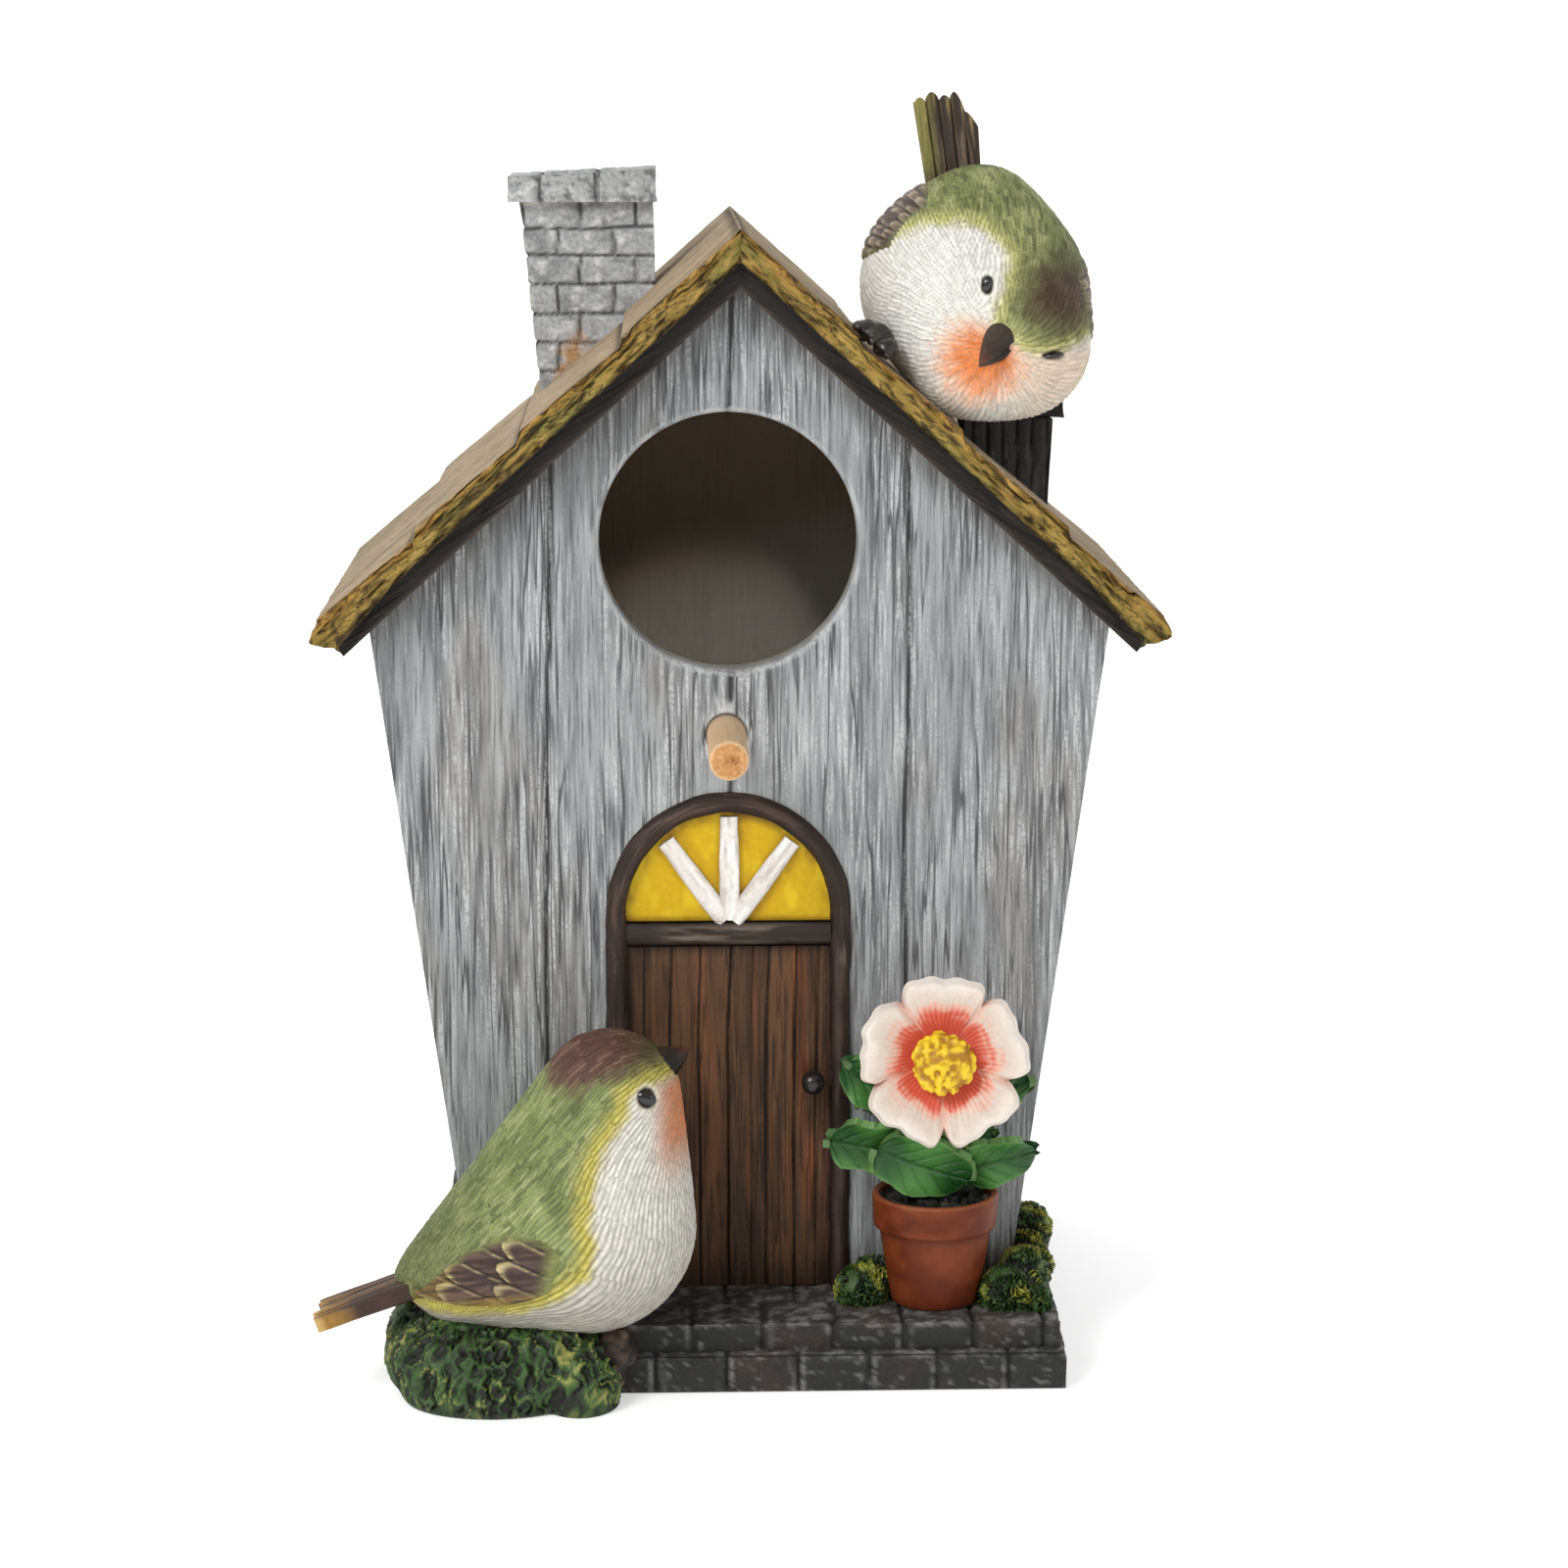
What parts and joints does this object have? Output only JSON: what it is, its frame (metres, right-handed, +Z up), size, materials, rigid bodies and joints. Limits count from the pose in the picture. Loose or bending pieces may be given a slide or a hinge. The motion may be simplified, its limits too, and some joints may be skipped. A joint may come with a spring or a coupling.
{
  "type": "birdhouse",
  "caption": "Decorative cottage birdhouse with a round entrance, dowel perch, pitched mossy roof, chimney, painted door, small birds and a potted flower; rear cover swings open for cleaning.",
  "frame": {"origin": "middle of the plinth's footprint, on the ground", "axes": "+Z up, -Y out of the door and the entrance (front), +X to the viewer's right when facing the front"},
  "size_m": [0.1727, 0.1521, 0.258],
  "materials": {
    "paver_resin": "painted, dry-brushed",
    "board_resin": "painted weathered boards",
    "dark_boarding": "painted, matt",
    "mossy_roof": "painted weathered planks with moss",
    "chimney_stone": "painted stone",
    "dark_brick": "painted, matt",
    "dowel_wood": "bare sanded wood",
    "door_frame_paint": "painted, satin",
    "door_paint": "painted planks, satin",
    "fanlight_paint": "painted, semi-gloss",
    "bar_paint": "painted",
    "black_paint": "painted, satin",
    "plumage": "painted, engraved feathers",
    "beak_paint": "painted, satin",
    "eye_paint": "gloss",
    "flight_feathers": "painted, engraved feathers",
    "grass_paint": "painted grass relief",
    "rock_paint": "painted rock",
    "moss_paint": "painted moss relief",
    "terracotta_paint": "painted, satin",
    "soil_paint": "painted, rough",
    "leaf_paint": "painted, semi-gloss",
    "petal_paint": "painted, shaded to the middle",
    "stamen_paint": "painted, lumpy",
    "cover_paint": "painted sheet steel",
    "screw_steel": "zinc plated"
  },
  "bodies": {
    "house": {"plinth": "paver_resin", "front_wall": "board_resin", "rear_wall": "board_resin", "left_wall": "board_resin", "right_wall": "board_resin", "roof_boarding_left": "dark_boarding", "roof_boarding_right": "dark_boarding", "roof_slab_left": "mossy_roof", "roof_slab_right": "mossy_roof", "chimney_stack": "chimney_stone", "chimney_cap": "chimney_stone", "stub_chimney": "dark_brick", "stub_cap": "dark_brick", "perch": "dowel_wood", "door_frame": "door_frame_paint", "door_lintel": "door_frame_paint", "door_panel": "door_paint", "fanlight_pane": "fanlight_paint", "glazing_bars": "bar_paint", "door_knob": "black_paint", "low_bird_body": "plumage", "roof_bird_body": "plumage", "low_bird_beak": "beak_paint", "roof_bird_beak": "beak_paint", "low_bird_eyes": "eye_paint", "roof_bird_eyes": "eye_paint", "low_bird_wing_near": "flight_feathers", "low_bird_wing_far": "flight_feathers", "low_bird_tail": "flight_feathers", "roof_bird_wing_left": "flight_feathers", "roof_bird_wing_right": "flight_feathers", "roof_bird_tail": "flight_feathers", "roof_bird_foot": "dark_brick", "grass_mound": "grass_paint", "mound_rock": "rock_paint", "moss_left": "moss_paint", "moss_right": "moss_paint", "flower_pot": "terracotta_paint", "pot_soil": "soil_paint", "flower_stem": "leaf_paint", "flower_leaves": "leaf_paint", "flower_petals": "petal_paint", "flower_centre": "stamen_paint", "cover_pivot_screw": "screw_steel", "cover_lock_screw": "screw_steel", "hanger_plate": "screw_steel", "hanger_screws": "screw_steel"},
    "cover": {"cleanout_cover": "cover_paint"}
  },
  "joints": [
    {"name": "cover_swing", "type": "hinge", "parent": "house", "child": "cover", "pos_m": [0, 0.0603, 0.082], "axis": [0, 1, 0], "range_deg": [0, 115]}
  ]
}
